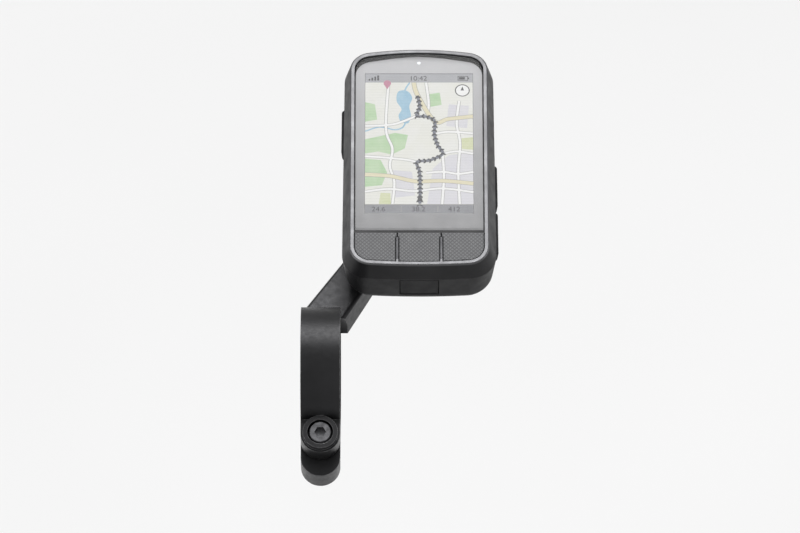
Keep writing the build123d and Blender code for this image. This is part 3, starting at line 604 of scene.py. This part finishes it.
def build_glass_print():
    """The border print under the glass, with its painted glare, open over the lit screen, and the light
    sensor's dot with a painted glow.
    """
    margin, corner = 0.15, 5.2       # from the glass's edge, and the radius of its front corners
    lip = 0.12                       # from the lit area
    x1, y0 = GLASS_HIGH.x - margin, GLASS_LOW.y + margin
    front = GLASS_HIGH.y - margin
    bow = 1.9                    # the glass's front edge curves forward by this much
    arc = [(x1 - corner + corner * math.cos(a), front - bow - corner + corner * math.sin(a))
           for a in (math.radians(15 * i) for i in range(6))]
    inset = 0.1                  # keeps the flat sides of the front curve inside the glass
    crown = [(x, front - bow * (x / (x1 - corner)) ** 2 - inset) for x in (11.0, 7.5, 3.8)]
    # The border print's grey ink, carrying painted glare and a painted glow.
    print_ink_and_painted_glare = border_ink_and_painted_glare()
    side, top_low, arc_start = RIGHT_SIDE + lip, TOP + lip, front - bow - corner
    right_strip = [(side, y0), (x1, y0), (x1, arc_start), (side, arc_start)]
    left_strip = [(-x, y) for x, y in reversed(right_strip)]
    bottom_strip = rectangle(-side, y0, side, BOTTOM - lip)
    right_edge = [(side, top_low), (side, arc_start), (x1, arc_start)] + arc[1:] + crown
    cap = right_edge + [(0.0, front)] + [(-x, y) for x, y in reversed(right_edge)]
    print_shapes = [right_strip, left_strip, bottom_strip, cap]
    flat_piece("glass_print_and_painted_glare", print_shapes, LAYERS, print_ink_and_painted_glare)
    # Painted glow: the light sensor's window is no lamp, but is given light of its own.
    painted_sensor_glow = lit("sensor_window_painted_glow", (0.9, 0.93, 0.95), 1.3)
    sensor_low, sensor_high = local_box("light_pipe")
    middle = (sensor_low + sensor_high) / 2
    flat_piece("sensor_window", [disc(middle.x, middle.y, 0.55, 20)], LAYERS + 1, painted_sensor_glow)


def build_stage():
    """A plain pale floor and backdrop well below the object."""
    material, tree, bsdf = new_material("studio_paper")
    cloud = spread(tree, noise(tree, 400.0), 0, 1)
    tone = blend_colours(tree, cloud, (0.85, 0.85, 0.85), (0.88, 0.88, 0.88))
    tree.links.new(tone, bsdf.inputs["Base Color"])
    tree.links.new(spread(tree, noise(tree, 60.0), 0.85, 0.95), bsdf.inputs["Roughness"])
    drop, reach = 0.45, 6.0          # metres below the object, and from the middle to each side
    level = CAD_LOW.z - drop
    mesh = bpy.data.meshes.new("studio_floor")
    corners = [(-reach, -reach, level), (reach, -reach, level), (reach, reach, level), (-reach, reach, level)]
    mesh.from_pydata(corners, [], [(0, 1, 2, 3)])
    mesh.materials.append(material)
    floor = bpy.data.objects.new("studio_floor", mesh)
    bpy.context.scene.collection.objects.link(floor)


def softbox(name, direction, distance, size, watts):
    """A square area light that faces the object."""
    light = bpy.data.lights.new(name, "AREA")
    light.size = size
    light.energy = watts
    lamp = bpy.data.objects.new(name, light)
    heading = Vector(direction).normalized()
    lamp.location = CENTRE + heading * distance
    lamp.rotation_euler = heading.to_track_quat("Z", "Y").to_euler()
    bpy.context.scene.collection.objects.link(lamp)


def build_light():
    """Pale surroundings, and an overhead softbox whose reflection pales the anti-glare glass."""
    world = bpy.data.worlds.new("studio")
    bpy.context.scene.world = world
    world.use_nodes = True
    back = world.node_tree.nodes["Background"]
    back.inputs["Color"].default_value = (0.9, 0.9, 0.9, 1)
    back.inputs["Strength"].default_value = 0.62
    softbox("overhead", (0.0, 0.50, 0.87), 1.5, 0.9, 15)
    softbox("left_fill", (-0.9, -0.35, 0.45), 1.6, 0.8, 5)
    softbox("right_fill", (0.95, 0.1, 0.35), 1.6, 0.6, 3)


def build_camera():
    """The rider's view: from straight behind, looking forward and down, through a long lens."""
    elevation, distance, lens = math.radians(47), 2.0, 293      # the distance in metres, the lens in mm
    camera = bpy.data.cameras.new("rider_view")
    camera.lens = lens
    camera.sensor_width = 36
    camera.clip_start = 0.01
    eye = bpy.data.objects.new("rider_view", camera)
    away = Vector((0, -math.cos(elevation), math.sin(elevation)))
    eye.location = CENTRE + away * distance
    eye.rotation_euler = away.to_track_quat("Z", "Y").to_euler()
    bpy.context.scene.collection.objects.link(eye)
    bpy.context.scene.camera = eye
    bpy.context.scene.view_settings.view_transform = "Standard"


dress_cad_nodes()
build_screen()
build_glass_print()
build_stage()
build_light()
build_camera()
